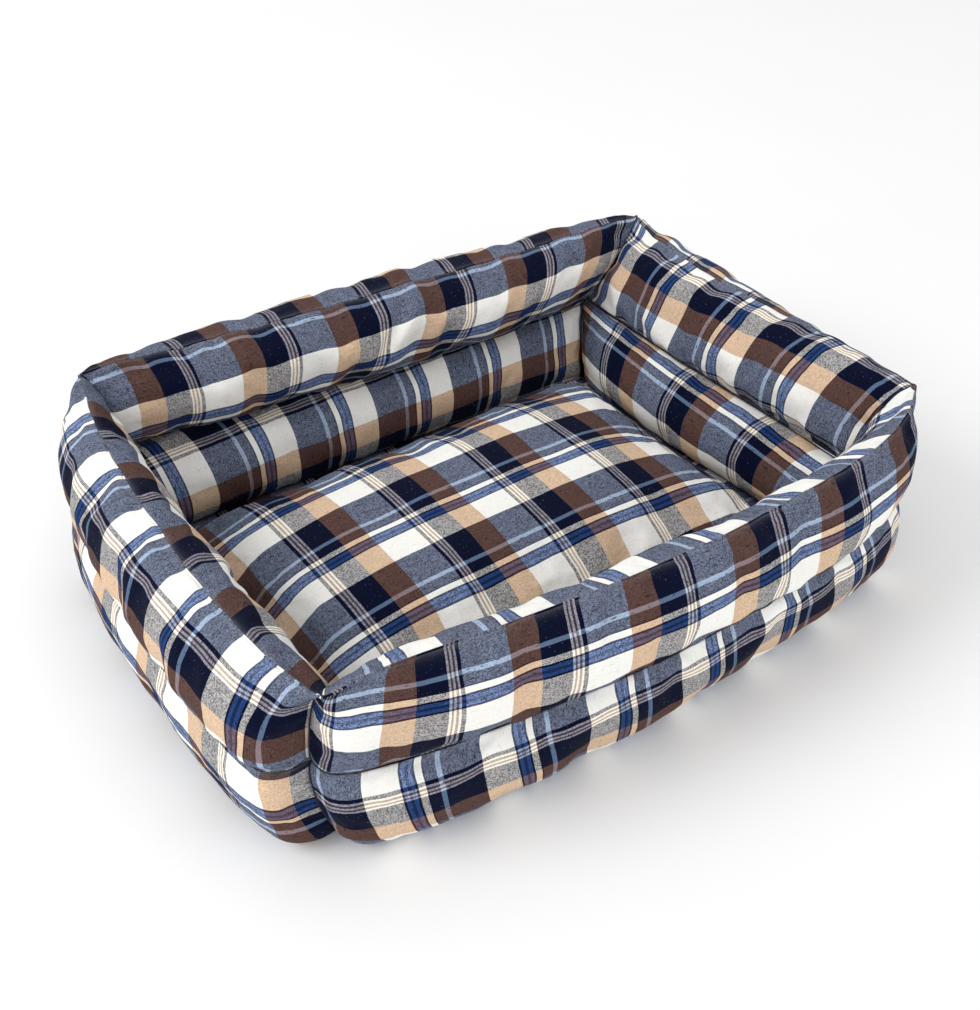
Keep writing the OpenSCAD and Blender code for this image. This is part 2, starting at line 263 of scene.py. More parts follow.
# Cloth along a panel for each metre of its middle line, where more or less than that is sewn in
EASE = {("front", "inner_upper"): 1.08, ("left", "inner_upper"): 1.10, ("front", "outer_upper"): 0.94,
        ("front", "outer_lower"): 0.98, ("back", "outer_upper"): 0.94}
# The same across a panel, at its first and its second end
ACROSS_EASE = {("front", "outer_upper"): (1.17, 0.97)}
# How far the plaid is off its line, along and across, in repeats, where a panel's first end is gathered in
DRIFT = {("front", "outer_upper"): (0.13, 0.26)}


def plaid_uv(side, which, along, across):
    """Plaid coordinates in repeats: set B in U and set A in V."""
    first, step, place_along, down, place_across, grain = PLAID[side, which]
    along = along * EASE.get((side, which), 1)
    period, other = (REPEAT_B, REPEAT_A) if first == "B" else (REPEAT_A, REPEAT_B)
    lengthwise = place_along + step * along / period
    first_ease, second_ease = ACROSS_EASE.get((side, which), (1, 1))
    across = across * np.interp(along, [along.min(), along.max()], [first_ease, second_ease])
    crosswise = place_across + down * across / other + grain * along
    drift = np.exp(-(along - along.min()) / CORNER_FADE)
    drift_along, drift_across = DRIFT.get((side, which), (0, 0))
    lengthwise, crosswise = lengthwise + drift_along * drift, crosswise + drift_across * drift
    return np.stack([lengthwise, crosswise] if first == "B" else [crosswise, lengthwise], -1)


# ---- Grids to meshes ----
def normals(grid, outward):
    """Unit normals of a grid; outward is 1 or -1, for the side that they point to."""
    normal = np.cross(np.gradient(grid, axis=0), np.gradient(grid, axis=1)) * outward
    return normal / np.maximum(norms(normal), 1e-12)


def link(obj):
    bpy.context.scene.collection.objects.link(obj)


def grid_object(name, grid, uvs, outward):
    """A mesh of quads through a grid. uvs is {layer name: (rows, columns, 2)}; outward is 1 or -1."""
    rows, columns = grid.shape[:2]
    i, j = np.meshgrid(np.arange(rows - 1), np.arange(columns - 1), indexing="ij")
    corner = (i * columns + j).ravel()
    quads = np.stack([corner, corner + columns, corner + columns + 1, corner + 1], 1)
    if outward < 0:
        quads = quads[:, ::-1]
    mesh = bpy.data.meshes.new(name)
    mesh.from_pydata(grid.reshape(-1, 3).tolist(), [], quads.tolist())
    for layer, uv in uvs.items():
        at_corners = uv.reshape(-1, 2)[quads.ravel()].astype(np.float32)
        mesh.uv_layers.new(name=layer).data.foreach_set("uv", at_corners.ravel())
    mesh.shade_smooth()
    obj = bpy.data.objects.new(name, mesh)
    link(obj)
    return obj


def coordinates(obj):
    flat = np.empty(len(obj.data.vertices) * 3, np.float32)
    obj.data.vertices.foreach_get("co", flat)
    return flat.reshape(-1, 3).astype(float)


def set_coordinates(obj, points):
    obj.data.vertices.foreach_set("co", points.reshape(-1).astype(np.float32))
    obj.data.update()


def apply_modifiers(obj):
    evaluated = obj.evaluated_get(bpy.context.evaluated_depsgraph_get())
    mesh = bpy.data.meshes.new_from_object(evaluated)
    old = obj.data
    obj.modifiers.clear()
    obj.data = mesh
    mesh.name = obj.name
    bpy.data.meshes.remove(old)


def finish_cloth(obj, thickness, levels=1):
    """Subdivides a grid and gives it the cloth's thickness, inward."""
    if levels:
        subdivision = obj.modifiers.new("smooth", "SUBSURF")
        subdivision.levels = subdivision.render_levels = levels
        subdivision.boundary_smooth = "PRESERVE_CORNERS"
    if thickness:
        solid = obj.modifiers.new("thickness", "SOLIDIFY")
        solid.thickness = thickness
        solid.offset = -1
    apply_modifiers(obj)
    obj.data.shade_smooth()


# ---- Lumps of filling and puckers at the seams ----
class Lumps:
    """Smooth unevenness in space, a sum of waves in mixed directions; about 1 at its highest."""

    def __init__(self, shortest, longest, count=26):
        direction = random.normal(size=(count, 3))
        direction /= norms(direction)
        self.waves = direction * (2 * math.pi / random.uniform(shortest, longest, count))[:, None]
        self.phases = random.uniform(0, 2 * math.pi, count)

    def __call__(self, points):
        value = np.cos(points @ self.waves.T + self.phases).sum(-1)
        return value / math.sqrt(len(self.phases) / 2) / 2.2


def puckers(along, distance, pitch, depth, reach):
    """Folds that run in from a seam: along is the place on the seam, distance the distance from it."""
    total = np.zeros_like(along)
    width = pitch * (0.16 + 0.10 * distance / reach)
    x = along.min() - pitch
    while x < along.max() + pitch:
        x += pitch * random.uniform(0.55, 1.5)
        size, length, lean = random.uniform(0.35, 1), random.uniform(0.55, 1.5), random.uniform(-0.35, 0.35)
        fold = np.exp(-(((along - x - lean * distance) / width) ** 2))
        total += size * fold * np.exp(-((distance / (reach * length)) ** 1.4))
    return -depth * total


# Deep creases, in millimetres: about half their width, and for each one in a panel, where its line meets the
# upper seam, how far it leans along for each millimetre across, its middle and reach across, and its depth
CREASE_WIDTH = 6
CREASES = {
    ("back", "inner_upper"): [(-17, 0.57, 34, 36, 5.0), (178, -0.15, 34, 24, 3.2)],
    ("left", "outer_upper"): [(95, 1.3, 6, 14, 3.0)],
    ("left", "inner_upper"): [(66, -0.3, 52, 26, 4.5)],
}


def creases(side, which, along, across):
    """The height of a panel's creases, each a furrow with a low ridge beside it."""
    total = np.zeros_like(across)
    for start, lean, middle, reach, depth in CREASES.get((side, which), []):
        line = (along / MM - start - lean * across / MM) / CREASE_WIDTH
        shape = 0.5 * np.exp(-((line + 1.8) ** 2)) - np.exp(-(line ** 2))
        total += depth * MM * shape * np.exp(-(((across / MM - middle) / reach) ** 2))
    return total


fill_lumps = Lumps(45 * MM, 130 * MM)
small_lumps = Lumps(18 * MM, 40 * MM)

# ---- Cloth simulation ----
# Frames that the cloth takes to settle
SETTLING = 22
SIMULATED = []


def simulate(obj, pinned, slack, pressure, cap):
    """Queues a mesh: it grows by slack, its pinned points stay, and no point moves further than cap."""
    group = obj.vertex_groups.new(name="held")
    group.add([int(k) for k in pinned], 1.0, "REPLACE")
    cloth = obj.modifiers.new("cloth", "CLOTH")
    settings = cloth.settings
    settings.quality = 7
    settings.mass = 0.12
    settings.tension_stiffness = settings.compression_stiffness = 18
    settings.shear_stiffness = 6
    settings.bending_stiffness = 0.35
    settings.tension_damping = settings.compression_damping = settings.shear_damping = 12
    settings.bending_damping = 2
    settings.air_damping = 3
    settings.vertex_group_mass = group.name
    settings.shrink_min = -slack
    settings.use_pressure = True
    settings.uniform_pressure_force = pressure
    settings.effector_weights.gravity = 0
    cloth.collision_settings.use_collision = False
    cloth.collision_settings.use_self_collision = False
    cloth.point_cache.frame_start = 1
    cloth.point_cache.frame_end = 40
    SIMULATED.append((obj, coordinates(obj), cap))


def run_simulations():
    """Runs the queued simulations together and applies their results to the meshes."""
    if not SIMULATED:
        return
    scene = bpy.context.scene
    for number in range(1, SETTLING + 1):
        scene.frame_set(number)
    graph = bpy.context.evaluated_depsgraph_get()
    for obj, rest, cap in SIMULATED:
        evaluated = obj.evaluated_get(graph)
        moved = coordinates(evaluated) - rest
        size = norms(moved)
        moved *= cap * np.tanh(size / cap) / np.maximum(size, 1e-9)
        set_coordinates(obj, rest + moved)
        obj.modifiers.clear()
        obj.vertex_groups.clear()
    scene.frame_set(1)
    SIMULATED.clear()


# ---- Materials ----
def srgb(*channels):
    """A linear colour from sRGB channels of 0 to 255."""
    shares = [channel / 255 for channel in channels]
    return tuple(c / 12.92 if c <= 0.04045 else ((c + 0.055) / 1.055) ** 2.4 for c in shares)


class Nodes:
    """A new material, and short ways to add nodes to it."""

    def __init__(self, name):
        self.material = bpy.data.materials.new(name)
        self.material.use_nodes = True
        self.tree = self.material.node_tree
        self.tree.nodes.clear()

    def put(self, socket, value):
        if isinstance(value, bpy.types.NodeSocket):
            self.tree.links.new(value, socket)
        elif hasattr(socket.default_value, "__len__") and hasattr(value, "__len__"):
            size = len(socket.default_value)
            socket.default_value = (tuple(value) + (1.0,))[:size]
        else:
            socket.default_value = value

    def add(self, kind, inputs=None, **settings):
        node = self.tree.nodes.new("ShaderNode" + kind)
        for key, value in settings.items():
            setattr(node, key, value)
        for key, value in (inputs or {}).items():
            self.put(node.inputs[key], value)
        return node

    def math(self, operation, *values, clamp=False):
        node = self.add("Math", dict(enumerate(values)), operation=operation, use_clamp=clamp)
        return node.outputs[0]

    def times(self, a, b, clamp=False):
        return self.math("MULTIPLY", a, b, clamp=clamp)

    def plus(self, a, b):
        return self.math("ADD", a, b)

    def vector(self, operation, *values):
        return self.add("VectorMath", dict(enumerate(values)), operation=operation).outputs[0]

    def stretched(self, vector, x, y):
        return self.vector("MULTIPLY", vector, (x, y, 1))

    def mix(self, factor, a, b, blend="MIX"):
        node = self.add("Mix", {0: factor, 6: a, 7: b}, data_type="RGBA", blend_type=blend)
        return node.outputs[2]

    def noise(self, vector, scale, detail=2.0, roughness=0.5, output="Fac"):
        inputs = {"Vector": vector, "Scale": scale, "Detail": detail, "Roughness": roughness}
        return self.add("TexNoise", inputs).outputs[output]

    def uv(self, layer):
        return self.add("UVMap", uv_map=layer).outputs["UV"]

    def split(self, vector):
        return self.add("SeparateXYZ", {0: vector}).outputs

    def fading(self, distance, reach):
        """1 at no distance, and less and less over a reach, in metres."""
        return self.math("EXPONENT", self.times(distance, -1 / reach))

    def bands(self, factor, stripes, shows):
        """Hard-edged stripes, (yarn, width) in order: what each yarn shows is a colour or a grey."""
        node = self.add("ValToRGB", {0: factor})
        node.color_ramp.interpolation = "CONSTANT"
        elements = node.color_ramp.elements
        start = 0.0
        for k, (yarn, width) in enumerate(stripes):
            element = elements[k] if k < 2 else elements.new(min(start, 0.9999))
            element.position = min(start, 0.9999)
            shown = shows[yarn]
            element.color = (*shown, 1) if isinstance(shown, tuple) else (shown, shown, shown, 1)
            start += width
        return node.outputs[0]

    def surface(self, colour, roughness, height, sheen=0.1):
        """Ends the material in a rough surface; height is in millimetres."""
        bump = self.add("Bump", {"Height": height, "Distance": MM, "Strength": 1.0})
        shader = self.add("BsdfPrincipled", {
            "Base Color": colour, "Roughness": roughness, "Normal": bump.outputs[0],
            "Specular IOR Level": 0.08, "Sheen Weight": sheen, "Sheen Roughness": 0.6})
        self.add("OutputMaterial", {0: shader.outputs[0]})
        return self.material


# Widths of the plaid's stripes, in shares of a repeat
WARP = [
    ("navy", 0.035), ("white", 0.018), ("tan", 0.019), ("white", 0.018), ("tan", 0.018), ("white", 0.018),
    ("navy", 0.242), ("brown", 0.2455), ("cream", 0.3865),
]
WEFT = [
    ("slate", 0.355), ("light", 0.041), ("slate", 0.094), ("deep", 0.015), ("white", 0.058), ("deep", 0.020),
    ("mid", 0.036), ("dark", 0.028), ("mid", 0.036), ("deep", 0.017), ("white", 0.300),
]
# The sRGB colour that each weft yarn shows over each warp yarn
OVER = {
    "slate": dict(cream=(96, 103, 122), brown=(84, 61, 56), navy=(3, 9, 36),
                  white=(135, 131, 142), tan=(56, 54, 62)),
    "white": dict(cream=(242, 241, 236), brown=(212, 183, 155), navy=(149, 147, 147),
                  white=(243, 238, 225), tan=(187, 169, 155)),
    "light": dict(cream=(158, 175, 199), brown=(134, 119, 123), navy=(86, 105, 132),
                  white=(184, 192, 204), tan=(120, 118, 134)),
    "mid": dict(cream=(106, 124, 164), brown=(102, 88, 106), navy=(32, 59, 108),
                white=(150, 158, 180), tan=(86, 88, 112)),
    "deep": dict(cream=(75, 82, 104), brown=(62, 42, 40), navy=(3, 8, 34),
                 white=(110, 108, 120), tan=(40, 40, 52)),
}
# How strongly each warp yarn shows through as a heather, under a dyed weft and under the white one
MIXED_DYED = dict(cream=1.0, white=0.7, tan=0.6, brown=0.5, navy=0.5)
MIXED_WHITE = dict(cream=0.07, white=0.12, tan=0.4, brown=0.28, navy=1.05)
# Shares of white, light and mid yarn in each weft stripe, and where the rest is deep instead of slate
WEFT_MIX = dict(slate=(0, 0, 0), white=(1, 0, 0), light=(0, 1, 0), mid=(0, 0, 1), deep=(0, 0, 0),
                dark=(0, 0, 0.35))
DEEP = dict(slate=0, white=0, light=0, mid=0, deep=1, dark=1)


def plaid_material(name):
    """The woven plaid, from the layers plaid (repeats), seams and ends (metres). spot is in millimetres."""
    m = Nodes(name)
    plaid = m.uv("plaid")
    spot = m.stretched(plaid, REPEAT_B / MM, REPEAT_A / MM)
    # Yarns wander by a fraction of a millimetre
    wander = m.vector("SUBTRACT", m.noise(spot, 0.07, 1, 0.4, "Color"), (0.5, 0.5, 0.5))
    place = m.vector("ADD", plaid, m.vector("MULTIPLY", wander, (0.006, 0.007, 0)))
    across, down, _ = m.split(m.vector("FRACTION", place))
    shown = {}
    for weft, over in OVER.items():
        shown[weft] = m.bands(across, WARP, {warp: srgb(*colour) for warp, colour in over.items()})
    white, light, mid = m.split(m.bands(down, WEFT, WEFT_MIX))
    colour = m.mix(m.bands(down, WEFT, DEEP), shown["slate"], shown["deep"])
    colour = m.mix(mid, colour, shown["mid"])
    colour = m.mix(light, colour, shown["light"])
    colour = m.mix(white, colour, shown["white"])

    # Heather: where a pale and a dark yarn cross, either may show. Uneven yarns make faint streaks
    crossing = m.vector("FLOOR", m.stretched(spot, 1.15, 1.45))
    cell = m.add("TexWhiteNoise", {"Vector": crossing}, noise_dimensions="2D").outputs["Value"]
    speckle = m.noise(spot, 1.0, 3, 0.8)
    heather = m.plus(m.times(cell, 0.55), m.times(speckle, 0.9))
    warp_streaks = m.noise(m.stretched(spot, 1.0, 0.12), 1.0, 2, 0.6)
    weft_streaks = m.noise(m.stretched(spot, 0.12, 1.0), 1.0, 2, 0.6)
    streaks = m.plus(m.times(warp_streaks, 0.5), m.times(weft_streaks, 0.7))
    tone = m.math("SUBTRACT", m.plus(m.times(heather, 2.1), streaks), 2.12)
    mixed = m.mix(white, m.bands(across, WARP, MIXED_DYED), m.bands(across, WARP, MIXED_WHITE))
    mixed, _, _ = m.split(mixed)
    mixed = m.times(mixed, m.math("SUBTRACT", 1.0, m.times(light, 0.65)))
    faded = m.times(m.math("SUBTRACT", m.noise(spot, 0.016, 2), 0.5), 0.14)
    shade = m.plus(1.0, m.plus(m.times(tone, mixed), faded))
    shade = m.math("MAXIMUM", shade, 0.1)
    grey = m.add("CombineColor", {0: shade, 1: shade, 2: shade}).outputs[0]
    colour = m.mix(1.0, colour, grey, "MULTIPLY")
    dyed = m.math("SUBTRACT", 1.0, m.times(white, 0.8))
    # Slubs: short dark ends of yarn in the dyed weft, and pale flecks
    slub = m.noise(m.stretched(spot, 0.20, 0.75), 0.85, 1)
    slub = m.times(m.times(m.math("SUBTRACT", slub, 0.655), 26.0, clamp=True), dyed)
    colour = m.mix(m.times(slub, 0.75), colour, srgb(18, 22, 46))
    fleck = m.noise(m.stretched(spot, 0.8, 0.5), 0.9, 1)
    fleck = m.times(m.math("SUBTRACT", fleck, 0.70), 18.0, clamp=True)
    colour = m.mix(m.times(fleck, 0.14), colour, srgb(205, 205, 208))

    # Near the seams the colour is pulled toward a mid grey: worn a little paler on the dark yarns, where the
    # cloth stands proud, and painted seam shade on the pale yarns
    along, seam, _ = m.split(m.uv("seams"))
    cross, end, _ = m.split(m.uv("ends"))
    seam_wear_and_shade = m.times(m.fading(seam, 2.2 * MM), m.times(heather, 0.30))
    colour = m.mix(seam_wear_and_shade, colour, srgb(170, 170, 176))

    # Weave, crumples and fine gathers that run in from the seams
    pitch = 1.1
    turns = m.stretched(spot, 2 * math.pi / pitch, 2 * math.pi / pitch)
    turn_x, turn_y, _ = m.split(turns)
    weave = m.times(m.math("SINE", turn_x), m.math("SINE", turn_y))
    crumple = m.noise(spot, 0.085, 2, 0.55)
    run, away = m.times(along, 1 / (9 * MM)), m.times(seam, 1 / (60 * MM))
    gather = m.noise(m.add("CombineXYZ", {0: run, 1: away}).outputs[0], 1.0, 1)
    gather = m.times(gather, m.fading(seam, 11 * MM))
    run, away = m.times(cross, 1 / (9 * MM)), m.times(end, 1 / (90 * MM))
    tuck = m.noise(m.add("CombineXYZ", {0: run, 1: away, 2: 3.0}).outputs[0], 1.0, 1)
    tuck = m.times(tuck, m.fading(end, 22 * MM))
    gathers = m.plus(m.times(gather, 2.2), m.times(tuck, 2.6))
    height = m.plus(m.times(weave, 0.03), m.times(crumple, 0.9))
    height = m.plus(height, gathers)
    roughness = m.plus(0.84, m.times(heather, 0.14))
    return m.surface(colour, roughness, height, sheen=0.015)


def tape_material(name, base, thread):
    """Woven twill tape with a row of stitches; its tape layer runs along and across it in metres."""
    m = Nodes(name)
    along, across, _ = m.split(m.uv("tape"))
    x, y = m.times(along, 1 / MM), m.times(across, 1 / MM)
    twill = m.math("SINE", m.times(m.plus(x, y), 2 * math.pi / 1.2))
    position = m.add("CombineXYZ", {0: x, 1: y}).outputs[0]
    mottle = m.noise(position, 0.8, 3, 0.6)
    colour = m.mix(m.times(mottle, 0.8), base, tuple(c * 1.9 for c in base))
    ridge = m.plus(m.times(twill, 0.5), 0.5)
    colour = m.mix(m.times(ridge, 0.3), colour, thread)
    stitch = m.math("GREATER_THAN", m.math("FRACT", m.times(x, 1 / 3.2)), 0.26)
    row = m.math("LESS_THAN", m.math("ABSOLUTE", y), 0.35)
    stitch = m.times(stitch, row)
    colour = m.mix(m.times(stitch, 0.8), colour, thread)
    height = m.plus(m.times(twill, 0.05), m.times(stitch, 0.25))
    return m.surface(colour, m.plus(0.72, m.times(mottle, 0.2)), height, sheen=0.05)


def plain_cloth_material(name, base):
    """Plain woven cloth; its tape layer is its plan in metres."""
    m = Nodes(name)
    along, across, _ = m.split(m.uv("tape"))
    x, y = m.times(along, 1 / MM), m.times(across, 1 / MM)
    position = m.add("CombineXYZ", {0: x, 1: y}).outputs[0]
    pitch = 1.4
    weft = m.math("SINE", m.times(x, 2 * math.pi / pitch))
    warp = m.math("SINE", m.times(y, 2 * math.pi / pitch))
    weave = m.times(weft, warp)
    mottle = m.noise(position, 0.5, 4, 0.65)
    patch = m.noise(position, 0.02, 3)
    colour = m.mix(m.times(mottle, 0.7), base, tuple(c * 1.8 for c in base))
    colour = m.mix(m.times(patch, 0.25), colour, srgb(70, 74, 92))
    crumple = m.noise(position, 0.05)
    height = m.plus(m.times(weave, 0.06), m.times(crumple, 0.8))
    return m.surface(colour, m.plus(0.78, m.times(mottle, 0.18)), height)


def wadding_material(name):
    """White fibre filling, tufted; it has no UV layers."""
    m = Nodes(name)
    place = m.add("TexCoord").outputs["Object"]
    tuft = m.noise(place, 260.0, 5, 0.7)
    cloud = m.noise(place, 45.0, 3, 0.6)
    colour = m.mix(tuft, srgb(222, 221, 216), srgb(250, 250, 248))
    height = m.plus(m.times(tuft, 0.8), m.times(cloud, 2.5))
    return m.surface(colour, m.plus(0.88, m.times(cloud, 0.1)), height, sheen=0.3)


MATERIALS = {
    "plaid_cotton": plaid_material("plaid cotton"),
    "seam_edge": tape_material("seam edge", srgb(16, 20, 44), srgb(58, 64, 96)),
    "bottom_cloth": plain_cloth_material("bottom cloth", srgb(28, 32, 48)),
    "fibre_filling": wadding_material("fibre filling"),
}


def piece(obj, body, node, slot):
    """Makes an object a piece: it rides on a body, stands for a CAD node and gets its slot's material."""
    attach(obj, body)
    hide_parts(node)
    obj.data.materials.clear()
    obj.data.materials.append(MATERIALS[slot])


# ---- Cloth panels of the walls ----
# Thickness of the cloth, and the size of a panel's grid: its cell's length and the number of points across
CLOTH = 0.9 * MM
CELL = 5.5 * MM
ACROSS = 21
# How far the yarns wander from their line
WOBBLE = 0.7 * MM


def stations(count, ease=0.72):
    """Places from -1 to 1 along a wall, closer together near its ends."""
    return np.sin(np.linspace(-1, 1, count) * math.pi / 2 * ease) / math.sin(math.pi / 2 * ease)


def seam_distances(along, across):
    """How far each point lies from the panel's long edges and from its ends, over the surface."""
    from_edges = np.minimum(across, across.max(axis=1, keepdims=True) - across)
    return from_edges, np.minimum(along - along.min(axis=0), along.max(axis=0) - along)


def cloth_uvs(plaid, along, across):
    """UV layers of a panel: its plaid, and its place against the seams at its long edges and at its ends."""
    from_edges, from_ends = seam_distances(along, across)
    seams, ends = np.stack([along, from_edges], -1), np.stack([across, from_ends], -1)
    return {"plaid": plaid, "seams": seams, "ends": ends}


def border(rows, columns):
    index = np.arange(rows * columns).reshape(rows, columns)
    return np.unique(np.concatenate([index[0], index[-1], index[:, 0], index[:, -1]]))


cloth_pieces = {}
panel_grids = {}


def cut(grid):
    """Works out a sheet cut as its grid: its greatest length and width, which are not kept."""
    run, span = lengths(grid, 0)[-1].max(), lengths(grid, 1)[:, -1].max()


for side in ROUND:
    rows = 2 * round(directions(side)[1] / CELL) + 1
    t = stations(rows)
    h = np.linspace(0, math.pi, ACROSS)
    for which in PANELS:
        upper = which.endswith("upper")
        outward = -1 if which.startswith("outer") else 1
        grid = panel_grids[side, which] = panel_grid(side, which, t, h)
        along, across = cloth_lengths(grid)
        wander_along, wander_across = WOBBLE * small_lumps(grid / 3), WOBBLE * small_lumps(grid / 3 + 1)
        plaid = plaid_uv(side, which, along + wander_along, across + wander_across)
        free = np.sin(h)[None, :] ** 0.6 * (1 - np.abs(t)[:, None] ** 10)
        lumps = fill_lumps(grid) * (1.8 if upper else 1.1) * MM * free
        grid = grid + normals(grid, outward) * lumps[..., None]
        obj = grid_object(f"{side}_{which}_cloth", grid, cloth_uvs(plaid, along, across), outward)
        tight = not upper or (which == "outer_upper" and side in ("back", "right"))
        simulate(obj, border(rows, ACROSS), slack=0.014 if tight else 0.026, pressure=4.0, cap=4.5 * MM)
        cloth_pieces[side, which] = (obj, along, across, outward)

run_simulations()

for (side, which), (obj, along, across, outward) in cloth_pieces.items():
    grid = coordinates(obj).reshape(*along.shape, 3)
    from_top, from_bottom = across, across.max(axis=1, keepdims=True) - across
    groove, other = (from_bottom, from_top) if which.endswith("upper") else (from_top, from_bottom)
    folds = puckers(along, groove, 27 * MM, 3.0 * MM, 17 * MM)
    folds += puckers(along, other, 21 * MM, 1.4 * MM, 12 * MM)
    for from_end in (along - along.min(), along.max() - along):
        folds += puckers(across, from_end, 25 * MM, 5.0 * MM, 58 * MM)
    folds += creases(side, which, along, across)
    free = 1 - np.exp(-np.minimum(*seam_distances(along, across)) / (3 * MM))
    folds += small_lumps(grid) * 0.35 * MM
    grid = grid + normals(grid, outward) * (folds * free)[..., None]
    set_coordinates(obj, grid.reshape(-1, 3))
    finish_cloth(obj, CLOTH)
    piece(obj, "bed", f"{side}_{which}_panel", "plaid_cotton")
    cut(panel_grids[side, which])


# ---- Filling, seams and base of the walls ----
SEAM_RADIUS = 0.8 * MM


def weld(obj, distance=0.02 * MM):
    """Joins points that lie within a distance of each other."""
    mesh = bmesh.new()
    mesh.from_mesh(obj.data)
    bmesh.ops.remove_doubles(mesh, verts=mesh.verts, dist=distance)
    bmesh.ops.recalc_face_normals(mesh, faces=mesh.faces)
    mesh.to_mesh(obj.data)
    mesh.free()
    obj.data.shade_smooth()


def sweep(path, radius, closed=False, sides=8, reference=(0, 0, 1)):
    """Rings round a path, as a grid, with its place along and around the tube in metres."""
    path = np.asarray(path, float)
    if closed:
        path = np.concatenate([path, path[:1]])
        ahead = np.roll(path[:-1], -1, 0) - np.roll(path[:-1], 1, 0)
        ahead = np.concatenate([ahead, ahead[:1]])
    else:
        ahead = np.gradient(path, axis=0)
    ahead /= norms(ahead)
    level = np.cross(ahead, reference)
    level /= norms(level)
    up = np.cross(level, ahead)
    angle = np.linspace(0, 2 * math.pi, sides + 1)
    ring = (np.cos(angle)[:, None] * level[:, None] + np.sin(angle)[:, None] * up[:, None]) * radius
    run = np.concatenate([[0], np.cumsum(np.linalg.norm(np.diff(path, axis=0), axis=1))])
    around = (angle - math.pi / 2) * radius
    return path[:, None] + ring, np.stack(np.meshgrid(run, around, indexing="ij"), -1)


def plain_uvs(plaid):
    """UV layers of a plaid piece with no gathers of its own: it counts as far from any seam."""
    far = np.full(plaid.shape, 50 * MM)
    return {"plaid": plaid, "seams": far, "ends": far}


def closed_section(side, level, t, inset):
    """Rings of a chamber's filling, an inset inside the cloth: their centres, and the way out from each."""
    h = np.linspace(0, math.pi, 15)
    outer, inner = (panel_grid(side, f"{face}_{level}", t, h) for face in ("outer", "inner"))
    ring = np.concatenate([outer, inner[:, ::-1]], 1)
    centre = ring.mean(axis=1, keepdims=True)
    spoke = ring - centre
    reach = norms(spoke)
    return centre, spoke * (1 - inset / reach)


for side in ROUND:
    for level in ("upper", "lower"):
        t = stations(45)
        centre, spoke = closed_section(side, level, t, 9 * MM)
        rounded = np.clip((1 - np.abs(t)) * 16, 0, 1) ** 0.5
        rounded = ((0.55 + 0.45 * rounded) * (np.abs(t) < 1))[:, None, None]
        middle = centre.mean(axis=1).mean(axis=0)
        shortened = middle + (centre - middle) * 0.975
        grid = shortened + spoke * rounded
        lumps = fill_lumps(grid)[..., None] * spoke / norms(spoke)
        grid += lumps * 1.2 * MM * rounded
        fill = grid_object(f"{side}_{level}_padding", grid, {}, 1)
        weld(fill)
        finish_cloth(fill, 0)
        piece(fill, "bed", f"{side}_{level}_fill", "fibre_filling")

    # The crest seam carries on the plaid of the panel outside it
    wall_t = stations(121)
    outer = panel_grid(side, "outer_upper", wall_t, np.linspace(0, math.pi, 12))
    grid, tube = sweep(outer[:, 0] - np.array([0, 0, 0.4 * MM]), SEAM_RADIUS)
    plaid = np.repeat(plaid_uv(side, "outer_upper", *cloth_lengths(outer))[:, :1], tube.shape[1], axis=1)
    crest = grid_object(f"{side}_crest_stitching", grid, plain_uvs(plaid), -1)
    piece(crest, "bed", f"{side}_crest_seam", "plaid_cotton")

    outside, inside = lower_edge(side, "outer_upper", wall_t), lower_edge(side, "inner_upper", wall_t)
    share = np.linspace(0.02, 0.98, 9)[None, :, None]
    grid = outside[:, None] * (1 - share) + inside[:, None] * share
    grid[..., 2] -= SEAM_GAP - CLOTH / 2
    along, across = cloth_lengths(grid)
    plaid = plaid_uv(side, "outer_upper", along, across)
    channel = grid_object(f"{side}_channel_stitching", grid, plain_uvs(plaid), 1)
    finish_cloth(channel, CLOTH, levels=0)
    piece(channel, "bed", f"{side}_channel_seam", "plaid_cotton")
    cut(grid)

for side in ROUND:
    # A corner seam runs up inside the corner, over the crest and down outside it, just within the cloth
    corner = WALLS[side]["corners"][1]
    lines = {}
    for face in ("outer", "inner"):
        down = np.linspace(0, math.pi, 25)
        upper = panel_grid(side, f"{face}_upper", np.array([1.0]), down)[0]
        lower = panel_grid(side, f"{face}_lower", np.array([1.0]), down)[0]
        lines[face] = np.concatenate([upper, lower])
    line = np.concatenate([lines["inner"][::-1], lines["outer"][1:]])
    middle = line.mean(axis=0)
    line = line + (middle - line) * (0.9 * MM) / norms(middle - line)
    corner_x, corner_y = CORNERS[corner]
    grid, tube = sweep(line, SEAM_RADIUS, reference=(-corner_y, corner_x, 0))
    seam = grid_object(f"{corner}_corner_stitching", grid, {"tape": tube}, 1)
    weld(seam, 0.3 * MM)
    piece(seam, "bed", f"{corner}_corner_seam", "seam_edge")


def loop(which):
    """The foot of one row of panels, right round the bed."""
    return np.concatenate([lower_edge(side, which, stations(61))[:-1] for side in ROUND])


def disc(loop_points, profile):
    """A grid over a loop, and its plan as UVs; profile is each ring's (share of the way out, height)."""
    centre = loop_points.mean(axis=0)
    ring = np.concatenate([loop_points, loop_points[:1]])
    shares, heights = (np.array(column)[None, :] for column in zip(*profile))
    grid = centre + (ring[:, None] - centre) * shares[..., None]
    grid[..., 2] = heights
    return grid, grid[..., :2].copy()


outer_foot, inner_foot = loop("outer_lower"), loop("inner_lower")
FLOOR_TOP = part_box("floor_cloth")[1].z
shares = np.linspace(0, 1, 24)

grid, flat = disc(outer_foot, [(share, GROUND) for share in shares])
bottom = grid_object("bottom_sheet", grid, {"tape": flat}, -1)
weld(bottom)
finish_cloth(bottom, GROUND, levels=0)
piece(bottom, "bed", "bottom_cloth", "bottom_cloth")

grid, tube = sweep(outer_foot + np.array([0, 0, 0.6 * MM]), 2.0 * MM, closed=True, sides=10)
binding = grid_object("bottom_binding", grid, {"tape": tube}, -1)
piece(binding, "bed", "bottom_edge_binding", "seam_edge")

